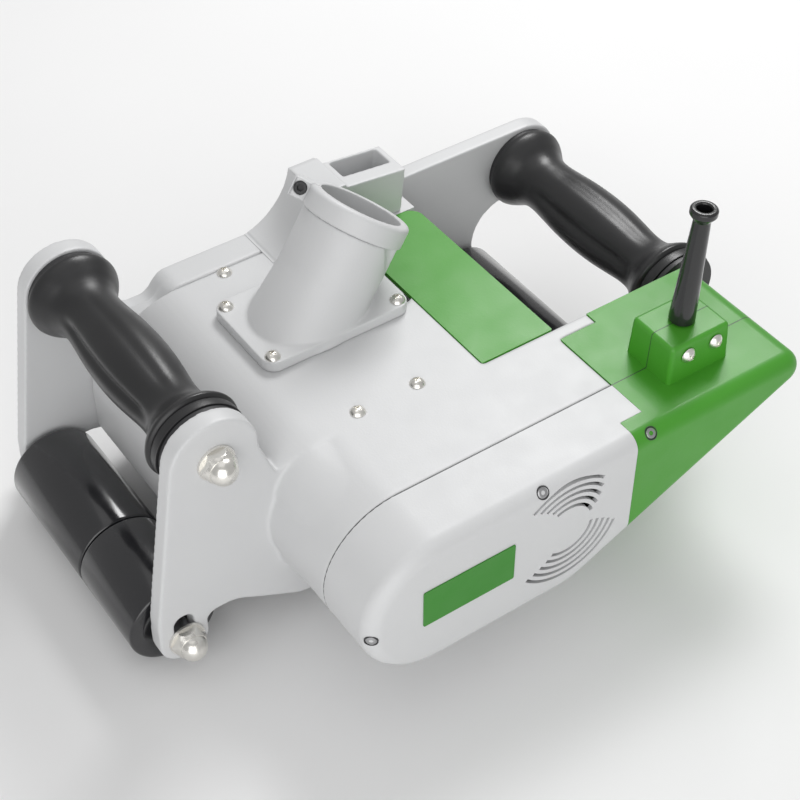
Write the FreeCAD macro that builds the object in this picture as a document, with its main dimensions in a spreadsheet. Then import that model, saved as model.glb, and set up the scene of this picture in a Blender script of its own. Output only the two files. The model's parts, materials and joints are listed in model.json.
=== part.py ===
"""Wall chaser: a hand-held machine with a pack of diamond blades under a cast guard.

Millimetres. +X points to the rear of the machine, +Y to the far side, +Z up. Every sub-part is
drawn about the datum, a point on the flat top of the guard, and placed so that the origin of the
finished machine is at the middle of its footprint, on the surface that its rollers stand on.
"""
import FreeCAD
import Part

import math
import os
from types import SimpleNamespace

import Sketcher

V = FreeCAD.Vector
ALONG_Y = FreeCAD.Rotation(V(1, 0, 0), -90)

os.makedirs("parts", exist_ok=True)
doc = FreeCAD.newDocument("WallChaser")

# ---------------------------------------------------------------- driving dimensions

DIMENSIONS = {
    "datum_x": -32.1,
    "datum_y": -45.0,
    "datum_z": 129.3,
    "running_gap": 0.05,
    "part_gap": 0.2,
    # side frames: upright plates that carry the handles and the rollers
    "plate_thickness": 11.2,
    "near_plate_y": -2.2,
    "far_plate_y": 174.0,
    "plate_floor": -115.0,
    "lug_radius": 27.0,
    "foot_radius": 16.0,
    # blade guard and the covers on top of it
    "guard_front": -113.0,
    "guard_rear": 105.0,
    "guard_wall": 4.0,
    "guard_floor": -88.0,
    "guard_nose_radius": 60.0,
    "cover_thickness": 3.0,
    "cover_rear": 54.8,
    "cover_far": 152.8,
    "panel_far": 136.0,
    # blades and spindle
    "spindle_x": -40.0,
    "spindle_z": -66.5,
    "blade_radius": 57.5,
    "blade_thickness": 2.2,
    "blade_pitch": 9.0,
    "blade_count": 5,
    "blade_middle_y": 88.0,
    "spindle_radius": 10.0,
    "spindle_journal": 8.5,
    "bearing_outer": 17.5,
    "bearing_width": 10.0,
    # motor and belt drive
    "motor_x": 41.8,
    "motor_z": -44.0,
    "shaft_radius": 5.0,
    "motor_bearing_radius": 13.0,
    "armature_radius": 20.0,
    "stator_radius": 36.0,
    "stator_length": 33.0,
    "fan_radius": 33.0,
    "motor_pulley_radius": 15.0,
    "spindle_pulley_radius": 20.0,
    "pulley_width": 10.0,
    "belt_thickness": 2.5,
    # motor housing
    "housing_wall": 3.0,
    "housing_left": -88.6,
    "housing_floor": -93.6,
    "housing_end_radius": 46.8,
    "housing_lobe_radius": 50.0,
    "housing_tip_radius": 11.0,
    "housing_slope": 25.0,
    "housing_split_y": -57.0,
    "housing_side_y": -99.0,
    "housing_edge_radius": 9.0,
    "green_top_x": 103.4,
    "green_side_x": 88.0,
    "vent_width": 2.2,
    # cable boss and sleeve
    "boss_x": 150.4,
    "boss_y": -57.5,
    "boss_length": 42.0,
    "boss_depth": 34.0,
    "boss_rise": 25.3,
    "boss_draft": 1.2,
    "sleeve_length": 75.5,
    "sleeve_radius": 7.6,
    "sleeve_neck": 4.9,
    "sleeve_rim": 7.8,
    "sleeve_bore": 4.2,
    "sleeve_lean": 3.8,
    # dust duct
    "flange_x": -0.6,
    "flange_y": 88.6,
    "flange_length": 97.6,
    "flange_depth": 64.2,
    "flange_thickness": 7.2,
    "duct_x": -4.4,
    "duct_y": 88.0,
    "duct_lean": 37.0,
    "duct_side_lean": 7.0,
    "duct_radius": 29.5,
    "duct_bore": 25.0,
    "duct_reach": 59.0,
    "collar_radius": 31.0,
    "collar_length": 13.0,
    # handles
    "front_grip_x": -116.6,
    "front_grip_z": 22.0,
    "rear_lug_y": 2.6,
    "rear_grip_x": 209.5,
    "rear_grip_z": -26.5,
    "grip_waist": 18.0,
    "grip_belly": 19.8,
    "grip_flare": 27.5,
    "collar_disc": 25.5,
    "rod_radius": 5.0,
    # rollers
    "front_roller_x": -145.8,
    "rear_roller_x": 158.0,
    "roller_z": -101.8,
    "roller_radius": 27.5,
    "roller_split_y": 73.0,
    "axle_radius": 6.0,
    "bush_wall": 3.0,
    "depth_travel": 12.0,
    # power switch
    "rocker_pin_radius": 1.2,
    "rocker_swing": 7.0,
    # fasteners
    "pan_head_radius": 4.7,
    "pan_head_height": 3.2,
    "screw_radius": 2.5,
    "nut_radius": 9.5,
    "nut_height": 8.0,
}

sheet = doc.addObject("Spreadsheet::Sheet", "Dims")
for row, (alias, number) in enumerate(DIMENSIONS.items(), start=1):
    sheet.set(f"A{row}", alias.replace("_", " "))
    sheet.set(f"B{row}", str(number))
    sheet.setAlias(f"B{row}", alias)
doc.recompute()
size = SimpleNamespace(**{alias: float(sheet.get(alias)) for alias in DIMENSIONS})

near_inner_y = size.near_plate_y + size.plate_thickness
far_inner_y = size.far_plate_y - size.plate_thickness

# ---------------------------------------------------------------- drawing helpers

subparts = []


def origin_feature(body, role):
    """The plane or axis of a body's own origin that has this role."""
    return next(item for item in body.Origin.OriginFeatures if item.Role == role)


def bind(item, **formulas):
    """Tie properties to formulas of the sheet; a double underscore stands for a dot."""
    for name, formula in formulas.items():
        item.setExpression(name.replace("__", "."), formula)


def settle(item, at=("0", "0", "0"), turn=None):
    """Place a finished sub-part: its own spot in the datum frame, then the datum itself."""
    if turn is not None:
        item.Placement = FreeCAD.Placement(V(0, 0, 0), turn)
    for letter, formula in zip("xyz", at):
        item.setExpression(f"Placement.Base.{letter}", f"Dims.datum_{letter} + {formula}")
    subparts.append(item)
    return item


def new_sketch(body, role, offset="0"):
    """Sketch on one of the body's origin planes, shifted along that plane's normal."""
    sketch = body.newObject("Sketcher::SketchObject", f"{body.Name}_sketch")
    sketch.AttachmentSupport = [(origin_feature(body, role), "")]
    sketch.MapMode = "FlatFace"
    sketch.setExpression("AttachmentOffset.Base.z", offset)
    return sketch


def add_outline(sketch, corners):
    """Closed straight-sided outline; each corner is a pair of formulas, dimensioned as such."""
    points = [V(*(float(sketch.evalExpression(part)) for part in pair), 0) for pair in corners]
    count = len(points)
    first = sketch.GeometryCount
    for step in range(count):
        sketch.addGeometry(Part.LineSegment(points[step], points[(step + 1) % count]), False)
    for step in range(count):
        joint = Sketcher.Constraint("Coincident", first + step, 2, first + (step + 1) % count, 1)
        sketch.addConstraint(joint)
    for step, pair in enumerate(corners):
        for kind, formula, value in zip(("DistanceX", "DistanceY"), pair, points[step]):
            mark = Sketcher.Constraint(kind, -1, 1, first + step, 1, value)
            index = sketch.addConstraint(mark)
            sketch.setExpression(f"Constraints[{index}]", formula)


def rounded_edges(corners):
    """Lines and tangent arcs of a closed outline given as (x, y, corner radius)."""
    count = len(corners)
    bends = []
    for step in range(count):
        here = V(corners[step][0], corners[step][1], 0)
        back = V(*corners[step - 1][:2], 0) - here
        ahead = V(*corners[(step + 1) % count][:2], 0) - here
        back.normalize()
        ahead.normalize()
        half = back.getAngle(ahead) / 2
        reach = corners[step][2] / math.tan(half)
        middle = back + ahead
        middle.normalize()
        depth = corners[step][2] / math.sin(half) - corners[step][2]
        bends.append((here + back * reach, here + middle * depth, here + ahead * reach))
    edges = []
    for step, (start, crown, end) in enumerate(bends):
        if start.distanceToPoint(end) > 1e-4:
            edges.append(Part.Arc(start, crown, end))
        following = bends[(step + 1) % count][0]
        if end.distanceToPoint(following) > 1e-4:
            edges.append(Part.LineSegment(end, following))
    return edges


def inset(corners, wall):
    """The same outline moved inwards by a wall's thickness, for a convex casing."""
    count = len(corners)
    points = [V(x, y, 0) for x, y, _ in corners]
    area = sum(points[i - 1].x * points[i].y - points[i].x * points[i - 1].y for i in range(count))
    side = 1 if area > 0 else -1
    result = []
    for step in range(count):
        into = points[step] - points[step - 1]
        away = points[(step + 1) % count] - points[step]
        into.normalize()
        away.normalize()
        normal_in = V(-into.y, into.x, 0) * side
        normal_out = V(-away.y, away.x, 0) * side
        shift = (normal_in + normal_out) * (wall / (1 + normal_in.dot(normal_out)))
        moved = points[step] + shift
        result.append((moved.x, moved.y, max(corners[step][2] - wall, 0.5)))
    return result


def slab(name, corners, low, high):
    """Body padded across the machine from y = low to y = high; corners are (x, z, radius)."""
    body = doc.addObject("PartDesign::Body", name)
    sketch = new_sketch(body, "XZ_Plane", f"-({low})")
    sketch.addGeometry(rounded_edges(corners), False)
    pad = body.newObject("PartDesign::Pad", f"{name}_pad")
    pad.Profile = sketch
    pad.Reversed = True
    bind(pad, Length=f"{high} - ({low})")
    return body


def plate_up(name, corners, low, high):
    """Body padded upwards from z = low to z = high; corners are (x, y, radius)."""
    body = doc.addObject("PartDesign::Body", name)
    sketch = new_sketch(body, "XY_Plane", low)
    sketch.addGeometry(rounded_edges(corners), False)
    pad = body.newObject("PartDesign::Pad", f"{name}_pad")
    pad.Profile = sketch
    bind(pad, Length=f"{high} - ({low})")
    return body


def turned(name, profile):
    """Body turned about its own Z axis; profile corners are (radius, height) formulas."""
    body = doc.addObject("PartDesign::Body", name)
    sketch = new_sketch(body, "XZ_Plane")
    add_outline(sketch, profile)
    turn = body.newObject("PartDesign::Revolution", f"{name}_turn")
    turn.Profile = sketch
    turn.ReferenceAxis = (origin_feature(body, "Z_Axis"), [""])
    turn.Angle = 360
    return body


def rod(name, radius, length, at, turn=ALONG_Y):
    """Part cylinder whose first end is at a spot given by formulas."""
    item = doc.addObject("Part::Cylinder", name)
    item.Placement = FreeCAD.Placement(V(0, 0, 0), turn)
    bind(item, Radius=radius, Height=length)
    bind(item, Placement__Base__x=at[0], Placement__Base__y=at[1], Placement__Base__z=at[2])
    return item


def block(name, low, high):
    """Part box between two corners given by formulas."""
    item = doc.addObject("Part::Box", name)
    bind(item, Length=f"{high[0]} - ({low[0]})", Width=f"{high[1]} - ({low[1]})")
    bind(item, Height=f"{high[2]} - ({low[2]})")
    bind(item, Placement__Base__x=low[0], Placement__Base__y=low[1], Placement__Base__z=low[2])
    return item


def fused(name, members):
    """Union of several objects."""
    item = doc.addObject("Part::MultiFuse", name)
    item.Shapes = members
    return item


def cut(name, base, tools):
    """Base with every tool taken away."""
    tool = tools[0] if len(tools) == 1 else fused(f"{name}_tools", tools)
    item = doc.addObject("Part::Cut", name)
    item.Base = base
    item.Tool = tool
    return item


def shared(name, first, second):
    """What two objects have in common."""
    item = doc.addObject("Part::Common", name)
    item.Base = first
    item.Tool = second
    return item


def group(name, members):
    """Several separate solids kept as one sub-part."""
    item = doc.addObject("Part::Compound", name)
    item.Links = members
    return item


def solid(name, shape):
    """Sub-part whose shape is worked out by Part's own functions."""
    item = doc.addObject("Part::Feature", name)
    item.Shape = Part.makeCompound([shape])
    return item


def round_edges(body, radius, chosen):
    """Round the edges of a body's tip that pass a test, by a radius of the sheet."""
    doc.recompute()
    base = body.Tip
    edges = base.Shape.Edges
    names = [f"Edge{number}" for number, edge in enumerate(edges, start=1) if chosen(edge)]
    fillet = body.newObject("PartDesign::Fillet", f"{body.Name}_round")
    fillet.Base = (base, names)
    bind(fillet, Radius=radius)
    return fillet


def lies_on_y(edge, y):
    """Whether a whole edge lies in the plane y = const."""
    box = edge.BoundBox
    return abs(box.YMin - y) < 1e-3 and abs(box.YMax - y) < 1e-3


# ---------------------------------------------------------------- side frames


def front_arm():
    """Corners shared by both side frames, from the bottom up over the handle lug."""
    foot = size.front_roller_x
    reach = size.foot_radius
    return [
        (-96.0, -101.0, 30.0),
        (-113.0, -91.0, 22.0),
        (foot + reach - 2, -91.5, 6.0),
        (foot + reach, size.roller_z - reach, reach - 1.0),
        (foot - reach, size.roller_z - reach, reach - 1.0),
        (foot - reach + 0.5, -84.0, 18.0),
        (-139.5, 49.0, size.lug_radius - 1),
        (-90.0, 49.0, size.lug_radius - 1),
    ]


def rear_foot():
    """Corners round the rear roller's lug and along the bottom, from the back to the front."""
    foot = size.rear_roller_x
    reach = size.foot_radius
    return [
        (foot + reach, size.roller_z - reach, reach - 1.0),
        (foot - reach, size.roller_z - reach, reach - 1.0),
        (128.0, -97.0, 20.0),
        (40.0, size.plate_floor, 30.0),
        (-70.0, size.plate_floor, 22.0),
    ]


def plate_holes(name, low, high):
    """Cutters through a side frame: two handle rods, the depth slot and the rear axle."""
    length = f"{high} - ({low})"
    front = rod(f"{name}_rod_hole", "Dims.rod_radius + 0.3", length,
                ("Dims.front_grip_x", low, "Dims.front_grip_z"))
    rear = rod(f"{name}_rear_rod_hole", "Dims.rod_radius + 0.3", length,
               ("Dims.rear_grip_x", low, "Dims.rear_grip_z"))
    axle = rod(f"{name}_axle_hole", "Dims.axle_radius + Dims.running_gap", length,
               ("Dims.rear_roller_x", low, "Dims.roller_z"))
    slot_low = rod(f"{name}_slot_low", "Dims.axle_radius + 0.2", length,
                   ("Dims.front_roller_x", low, "Dims.roller_z"))
    slot_high = rod(f"{name}_slot_high", "Dims.axle_radius + 0.2", length,
                    ("Dims.front_roller_x", low, "Dims.roller_z + Dims.depth_travel"))
    half = "(Dims.axle_radius + 0.2)"
    slot = block(f"{name}_slot", (f"Dims.front_roller_x - {half}", low, "Dims.roller_z"),
                 (f"Dims.front_roller_x + {half}", high, "Dims.roller_z + Dims.depth_travel"))
    return [front, rear, axle, slot_low, slot_high, slot]


housing_corners = [
    (size.housing_left, size.housing_floor, size.housing_end_radius),
]
slope = math.tan(math.radians(size.housing_slope))
lobe_x = 49.0
tip_x = lobe_x - size.housing_floor / slope
housing_corners += [
    (lobe_x, size.housing_floor, size.housing_lobe_radius),
    (tip_x, 0.0, size.housing_tip_radius),
    (size.housing_left, 0.0, size.housing_end_radius),
]


def make_main_casting():
    """Near side frame, inner bowl of the motor housing and blade guard in one casting."""
    low = "Dims.near_plate_y"
    high = "Dims.near_plate_y + Dims.plate_thickness"
    top = -size.cover_thickness - size.part_gap
    lug = size.rear_grip_x
    corners = front_arm() + [
        (-90.5, 18.0, 18.0),
        (-80.5, -9.0, 4.0),
        (-74.0, -20.0, 4.0),
        (-60.0, -20.0, 4.0),
        (-50.0, top, 6.0),
        (size.guard_rear, top, 2.0),
        (size.guard_rear + 1, -21.0, 4.0),
        (lug - 24.0, -21.0, 4.0),
        (lug - 14.0, -14.5, 5.0),
        (lug + 12.0, -14.5, 11.5),
        (lug + 12.0, -39.0, 11.5),
        (172.0, -45.0, 28.0),
    ] + rear_foot()
    plate = slab("near_plate", corners, low, high)
    outer = slab("bowl_outer", housing_corners, "Dims.housing_split_y",
                 "Dims.near_plate_y + Dims.part_gap")
    hollow = inset(housing_corners, size.housing_wall)
    motor_room = slab("motor_room", hollow, "Dims.housing_split_y - 1", "-28")
    belt_room = slab("belt_room", hollow, "-18", "Dims.near_plate_y")
    zone_rear = size.green_top_x
    zone = plate_up("bowl_zone", [
        (-130.0, -70.0, 1.0), (zone_rear, -70.0, 0.1), (zone_rear, -11.0, 0.1),
        (129.5, -11.0, 0.1), (129.5, 20.0, 0.1), (-130.0, 20.0, 1.0),
    ], "-140", "60")
    bowl = shared("bowl", cut("bowl_hollow", outer, [motor_room, belt_room]), zone)
    casting = fused("near_casting", [plate, bowl] + guard_walls())
    thinning = block("near_lug_thinning", ("172", "Dims.rear_lug_y", "-60"),
                     ("240", "Dims.near_plate_y + 12", "0"))
    bores = [
        rod("spindle_bore", "Dims.bearing_outer + 0.02", "Dims.plate_thickness + 1",
            ("Dims.spindle_x", "Dims.near_plate_y - 0.5", "Dims.spindle_z")),
        rod("motor_bore", "Dims.motor_bearing_radius + 0.02", "12",
            ("Dims.motor_x", "-29", "Dims.motor_z")),
    ]
    upright = FreeCAD.Rotation()
    bores += [
        thinning,
        rod("dust_port", "Dims.duct_bore", "12", ("Dims.duct_x", "Dims.duct_y", "-10"), upright),
        rod("rear_dust_port", "24", "12", ("42", "88", "-10"), upright),
    ]
    bores += [rod(f"top_screw_hole_{i}", "Dims.screw_radius + 0.1", "9", (str(x), str(y), "-8"),
                  upright) for i, (x, y) in enumerate(top_screw_spots())]
    tools = plate_holes("near", "Dims.near_plate_y - 1", "Dims.near_plate_y + 13") + bores
    return settle(cut("main_casting", casting, tools))


def make_far_side_frame():
    """Far side frame: plate with the handle lugs, roller feet and a flange on the top edge."""
    low = "Dims.far_plate_y - Dims.plate_thickness"
    corners = front_arm() + [
        (-89.0, -12.0, 14.0),
        (-66.0, -12.0, 10.0),
        (-56.0, 0.0, 12.0),
        (100.0, 0.0, 30.0),
        (120.0, 1.5, 30.0),
        (237.5, 1.5, size.lug_radius - 1),
        (237.5, -50.6, 25.0),
        (171.0, -50.6, 27.0),
    ] + rear_foot()
    plate = slab("far_plate", corners, low, "Dims.far_plate_y")
    flange = slab("far_flange", [
        (-86.0, -24.0, 1.0), (-86.0, -9.5, 5.0), (-66.0, -9.5, 10.0), (-56.0, 0.0, 12.0),
        (size.guard_rear, 0.0, 0.5), (size.guard_rear, -9.5, 0.5), (-54.0, -9.5, 20.0),
    ], "Dims.cover_far + 0.3", f"{low} + 0.5")
    bore = rod("far_bearing_bore", "Dims.bearing_outer + 0.02", "Dims.plate_thickness + 2",
               ("Dims.spindle_x", f"{low} - 1", "Dims.spindle_z"))
    tools = plate_holes("far", f"{low} - 1", "Dims.far_plate_y + 1") + [bore]
    return settle(cut("far_side_frame", fused("far_casting", [plate, flange]), tools))


# ---------------------------------------------------------------- guard and top covers


def guard_walls():
    """Blade guard: nose, flat top, rear wall and the bulkhead behind the blades, open below."""
    wall = size.guard_wall
    nose = size.guard_nose_radius
    front = size.guard_front
    step = size.cover_rear
    rear = size.guard_rear - size.part_gap
    floor = size.guard_floor
    under = -size.cover_thickness - size.part_gap
    ceiling = under - wall
    bulkhead = 24.0
    outline = [
        (front, floor, 0.5),
        (front, 0.0, nose),
        (step, 0.0, 0.3),
        (step, under, 0.3),
        (rear, under, 0.5),
        (rear, floor + 10, 0.5),
        (rear - wall, floor + 10, 0.5),
        (rear - wall, ceiling, 3.0),
        (bulkhead + wall, ceiling, 3.0),
        (bulkhead + wall, floor + 6, 0.5),
        (bulkhead, floor + 6, 0.5),
        (bulkhead, ceiling, 3.0),
        (front + wall, ceiling, nose + ceiling),
        (front + wall, floor, 0.5),
    ]
    shell = slab("guard_blank", outline, "Dims.near_plate_y + 6", "Dims.cover_far")
    nose_solid = slab("nose_solid", [
        (front, floor, 0.5), (front, 0.0, nose), (step, 0.0, 0.3), (step, floor, 0.5),
    ], "Dims.near_plate_y", "Dims.near_plate_y + 8")
    above = block("deck_zone", ("-95", "Dims.near_plate_y - 1", "-26"),
                  ("Dims.cover_rear + 1", "Dims.near_plate_y + 9", "1"))
    deck = shared("guard_deck", nose_solid, above)
    far = "Dims.far_plate_y - Dims.plate_thickness - Dims.part_gap"
    side = slab("guard_far_end", outline, "Dims.cover_far - 0.5", far)
    behind = block("guard_far_cut", ("-86.3", "Dims.cover_far - 1", "-150"),
                   ("150", "Dims.far_plate_y", "10"))
    return [shell, deck, cut("guard_nose_end", side, [behind])]


def top_screw_spots():
    """Screws near three corners of the guard's flat top; the ramp takes the fourth corner."""
    return [(-24.2, 5.5), (15.4, 5.5), (-24.2, 148.5)]


def make_rear_panel():
    """Coloured panel over the rear of the guard, with one rounded far corner."""
    near = size.near_plate_y + 0.4
    front = size.cover_rear + size.part_gap
    plate = plate_up("rear_panel", [
        (front, near, 0.5), (size.guard_rear, near, 1.0),
        (size.guard_rear, size.panel_far, 9.0), (front, size.panel_far, 1.0),
    ], "-Dims.cover_thickness", "0")
    return settle(plate)


def make_panel_filler():
    """Narrow strip of the guard's top between the coloured panel and the far flange."""
    front = size.cover_rear + size.part_gap
    near = size.panel_far + size.part_gap
    plate = plate_up("panel_filler", [
        (front, near, 0.5), (size.guard_rear, near, 0.5),
        (size.guard_rear, size.cover_far, 0.5), (front, size.cover_far, 0.5),
    ], "-Dims.cover_thickness", "0")
    return settle(plate)


def make_spanner_pocket():
    """Open-topped pocket for the blade spanner, on the far rear corner of the guard."""
    tilt = FreeCAD.Placement(V(54, 0, 0), FreeCAD.Rotation(V(0, 1, 0), 6), V(0, 0, 0))
    outer = Part.makeBox(42, 29, 36, V(0, 138, -1))
    pocket = Part.makeBox(34, 16, 32, V(4, 149, 6))
    hull = outer.cut(pocket)
    hull.Placement = tilt
    ear = Part.makeBox(20, 33, 38, V(37, 138, -1))
    near = V(0, 139, 0)
    foot = near + V(4, 0, 0.2)
    crown = near + V(37.5, 0, 36)
    back = near + V(56.5, 0, 36)
    heel = near + V(56.5, 0, 0.2)
    sweep = [Part.Arc(foot, near + V(25.5, 0, 12.5), crown), Part.LineSegment(crown, back),
             Part.LineSegment(back, heel), Part.LineSegment(heel, foot)]
    ramp = Part.Face(Part.Wire([edge.toShape() for edge in sweep])).extrude(V(0, 34.5, 0))
    hole = Part.makeCylinder(3, 30, V(44, 130, 31), V(0, 1, -0.15))
    floor = Part.makeBox(200, 60, 10, V(-20, 130, -9.8))
    shape = hull.fuse([ear, ramp]).cut(floor).cut(hole).removeSplitter()
    return settle(solid("spanner_pocket", shape))


# ---------------------------------------------------------------- dust duct

duct_base = V(size.duct_x, size.duct_y, 0)
side_turn = FreeCAD.Rotation(V(1, 0, 0), -size.duct_side_lean)
duct_turn = side_turn.multiply(FreeCAD.Rotation(V(0, 1, 0), size.duct_lean))
duct_axis = duct_turn.multVec(V(0, 0, 1))


def duct_body(shrink, foot_height, reach):
    """Leaning cone that stands on the flange and narrows into a straight neck."""
    neck = size.duct_radius - shrink
    below = 40.0
    taper_end = 26.0
    spread = neck + 2.6 * (taper_end + below) / taper_end
    cone = Part.makeCone(spread, neck, taper_end + below, duct_base - duct_axis * below, duct_axis)
    tube = Part.makeCylinder(neck, reach - taper_end, duct_base + duct_axis * taper_end, duct_axis)
    under = Part.makeBox(400, 300, 200, duct_base + V(-200, -150, foot_height - 200))
    return cone.fuse(tube).cut(under)


def duct_screw_places():
    """Screws near the four corners of the flange."""
    across = size.flange_length / 2 - 6.5
    deep = size.flange_depth / 2 - 6.5
    middle = V(size.flange_x, size.flange_y, size.flange_thickness)
    return [middle + V(i * across, j * deep, 0) for i in (-1, 1) for j in (-1, 1)]


def make_dust_duct():
    """Cast elbow on its four-screw flange, scooped where the screws go in."""
    long_half = size.flange_length / 2
    deep_half = size.flange_depth / 2
    corners = [(size.flange_x + i * long_half, size.flange_y + j * deep_half, 9.0)
               for i, j in ((-1, -1), (1, -1), (1, 1), (-1, 1))]
    flange_face = Part.Face(Part.Wire([edge.toShape() for edge in rounded_edges(corners)]))
    flange_face.translate(V(0, 0, 0.2))
    flange = flange_face.extrude(V(0, 0, size.flange_thickness - 0.2))
    shape = flange.fuse(duct_body(0.0, 1.0, size.duct_reach))
    for place in duct_screw_places():
        shape = shape.cut(Part.makeCylinder(7.2, 60, place))
        shape = shape.cut(Part.makeCylinder(size.screw_radius + 0.15, 20, place - V(0, 0, 10)))
    shape = shape.cut(duct_body(size.duct_radius - size.duct_bore, 0.1, size.duct_reach + 1))
    return settle(solid("dust_duct", shape.removeSplitter()))


def make_duct_collar():
    """Split ring that clamps a hose on the duct's mouth, with a clamping ear."""
    start = size.duct_reach + size.part_gap
    ring = Part.makeCylinder(size.collar_radius, size.collar_length,
                             duct_base + duct_axis * start, duct_axis)
    outer_edges = [edge for edge in ring.Edges if len(edge.Vertexes) == 1]
    top = [edge for edge in outer_edges if edge.CenterOfMass.z > ring.CenterOfMass.z]
    ring = ring.makeFillet(2.5, top)
    bore = Part.makeCylinder(size.duct_bore, 40, duct_base + duct_axis * (start - 10), duct_axis)
    middle = duct_base + duct_axis * (start + size.collar_length / 2)
    up_front = duct_turn.multVec(V(-1, 0, 0))
    far_side = duct_turn.multVec(V(0, 1, 0))
    angle = math.radians(43)
    outward = far_side * math.cos(angle) + up_front * math.sin(angle)
    tangent = far_side * -math.sin(angle) + up_front * math.cos(angle)
    frame = FreeCAD.Rotation(outward, tangent, duct_axis, "XYZ")
    ear = Part.makeBox(12, 16, size.collar_length - 1,
                       V(size.collar_radius - 3, -8, -size.collar_length / 2))
    slit = Part.makeBox(14, 2.4, size.collar_length + 4,
                        V(size.collar_radius - 6, 5.6, -size.collar_length / 2 - 2))
    hole = Part.makeCylinder(size.screw_radius + 0.15, 60, V(size.collar_radius + 4, -30, 0),
                             V(0, 1, 0))
    recess = Part.makeCylinder(4.0, 10, V(size.collar_radius + 4, 1.6, 0), V(0, 1, 0))
    shank = Part.makeCylinder(size.screw_radius - 0.1, 10, V(size.collar_radius + 4, -8, 0),
                              V(0, 1, 0))
    head = Part.makeCylinder(3.7, 3.4, V(size.collar_radius + 4, 1.9, 0), V(0, 1, 0))
    socket = hexagon(2.2, 4)
    socket.Placement = FreeCAD.Placement(V(size.collar_radius + 4, 7, 0),
                                         FreeCAD.Rotation(V(1, 0, 0), 90))
    screw = shank.fuse(head).cut(socket)
    for tool in (ear, slit, hole, recess, screw):
        tool.Placement = FreeCAD.Placement(middle, frame)
    shape = ring.fuse(ear).cut([bore, hole, recess]).removeSplitter()
    settle(solid("collar_screw", screw))
    return settle(solid("duct_collar", shape.cut(slit)))


# ---------------------------------------------------------------- motor housing and covers


def outer_casing():
    """Near half of the long casing before it is divided into its front and rear shells."""
    split = "Dims.housing_split_y - Dims.part_gap"
    body = slab("casing_outer", housing_corners, "Dims.housing_side_y", split)
    round_edges(body, "Dims.housing_edge_radius", lambda edge: lies_on_y(edge, size.housing_side_y))
    room = slab("casing_room", inset(housing_corners, size.housing_wall + 2),
                "Dims.housing_side_y + Dims.housing_wall", "Dims.housing_split_y + 1")
    return cut("casing_shell", body, [room])


def vent_slot(radius, start, end):
    """Curved slot through the side wall, swept about the fan's centre."""
    half = size.vent_width / 2
    middle = V(size.motor_x, 0, -42.3)

    def spot(reach, degrees):
        turn = math.radians(degrees)
        return middle + V(math.cos(turn), 0, math.sin(turn)) * reach

    halfway = (start + end) / 2
    edges = [
        Part.Arc(spot(radius - half, start), spot(radius - half, halfway), spot(radius - half, end)),
        Part.LineSegment(spot(radius - half, end), spot(radius + half, end)),
        Part.Arc(spot(radius + half, end), spot(radius + half, halfway), spot(radius + half, start)),
        Part.LineSegment(spot(radius + half, start), spot(radius - half, start)),
    ]
    face = Part.Face(Part.Wire([edge.toShape() for edge in edges]))
    face.translate(V(0, size.housing_side_y - 2, 0))
    return face.extrude(V(0, 9, 0))


def vents():
    """Two fans of concentric slots, one above and one below the motor's centre."""
    slots = []
    for ring in range(5):
        radius = 36.3 - 4.7 * ring
        slots.append(vent_slot(radius, 132 - 4 * ring, 50 - 7.5 * ring))
        slots.append(vent_slot(radius, -20 + 3 * min(ring, 4), -136 + 3.5 * ring))
    return solid("vent_slots", Part.makeCompound(slots))


def zone_outer(name, grow):
    """Plan area of the near casing's front shell, with its stepped rear boundary."""
    return plate_up(name, [
        (-130.0, -140.0, 1.0), (size.green_side_x + grow, -140.0, 0.1),
        (size.green_side_x + grow, -82.5 - grow, 1.0), (size.green_top_x + grow, -82.5 - grow, 0.1),
        (size.green_top_x + grow, -40.0, 0.1), (-130.0, -40.0, 1.0),
    ], "-140", "60")


def boss(name, low_y, high_y):
    """The part of the cable boss between two split planes: a drafted block with round corners."""
    half_x = size.boss_length / 2
    half_y = size.boss_depth / 2
    draft = size.boss_draft
    foot = -2.5
    block_shape = Part.makeWedge(-half_x - draft, foot, -half_y - draft, -half_y, -half_x,
                                 half_x + draft, size.boss_rise, half_y + draft, half_y, half_x)
    block_shape.rotate(V(0, 0, 0), V(1, 0, 0), 90)
    block_shape.translate(V(size.boss_x, size.boss_y, 0))
    rims = [edge for edge in block_shape.Edges if edge.BoundBox.ZMax > size.boss_rise - 0.01]
    block_shape = block_shape.makeFillet(2.5, rims)
    part_shape = block_shape.common(Part.makeBox(80, high_y - low_y, 60, V(110, low_y, -5)))
    return solid(name, part_shape)


def sleeve_hole(name):
    """Bore for the cable sleeve's shank, down through the boss."""
    return rod(name, "Dims.sleeve_radius - 1.5", "Dims.boss_rise + 8",
               ("Dims.boss_x", "Dims.boss_y", "-6"), FreeCAD.Rotation())


def boss_screw_spots():
    """Two screws in the near face of the boss."""
    return [(141.0, 16.6), (161.0, 16.6)]


def make_outer_covers():
    """Near casing: the light front shell with the vents and the coloured rear shell."""
    casing = outer_casing()
    front = shared("casing_front", casing, zone_outer("front_zone", -size.part_gap / 2))
    seat = cut("outer_bearing_seat",
               rod("seat_outer", "15", "8", ("Dims.motor_x", "Dims.housing_side_y + 1",
                                             "Dims.motor_z")),
               [rod("seat_inner", "11.02", "8", ("Dims.motor_x", "Dims.housing_side_y + 3.5",
                                                "Dims.motor_z"))])
    vented = cut("motor_housing_outer", fused("front_with_seat", [front, seat]), [vents()])
    settle(vented)
    rear = cut("casing_rear", casing, [zone_outer("rear_zone", size.part_gap / 2)])
    raised = fused("rear_with_boss", [rear, boss("boss_near", -90.0, -57.2)])
    clamps = [rod(f"boss_screw_hole_{i}", "Dims.screw_radius + 0.1", "34",
                  (str(x), "-79", str(z))) for i, (x, z) in enumerate(boss_screw_spots())]
    return settle(cut("rear_cover_outer", raised, [sleeve_hole("near_sleeve_hole")] + clamps))


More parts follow.
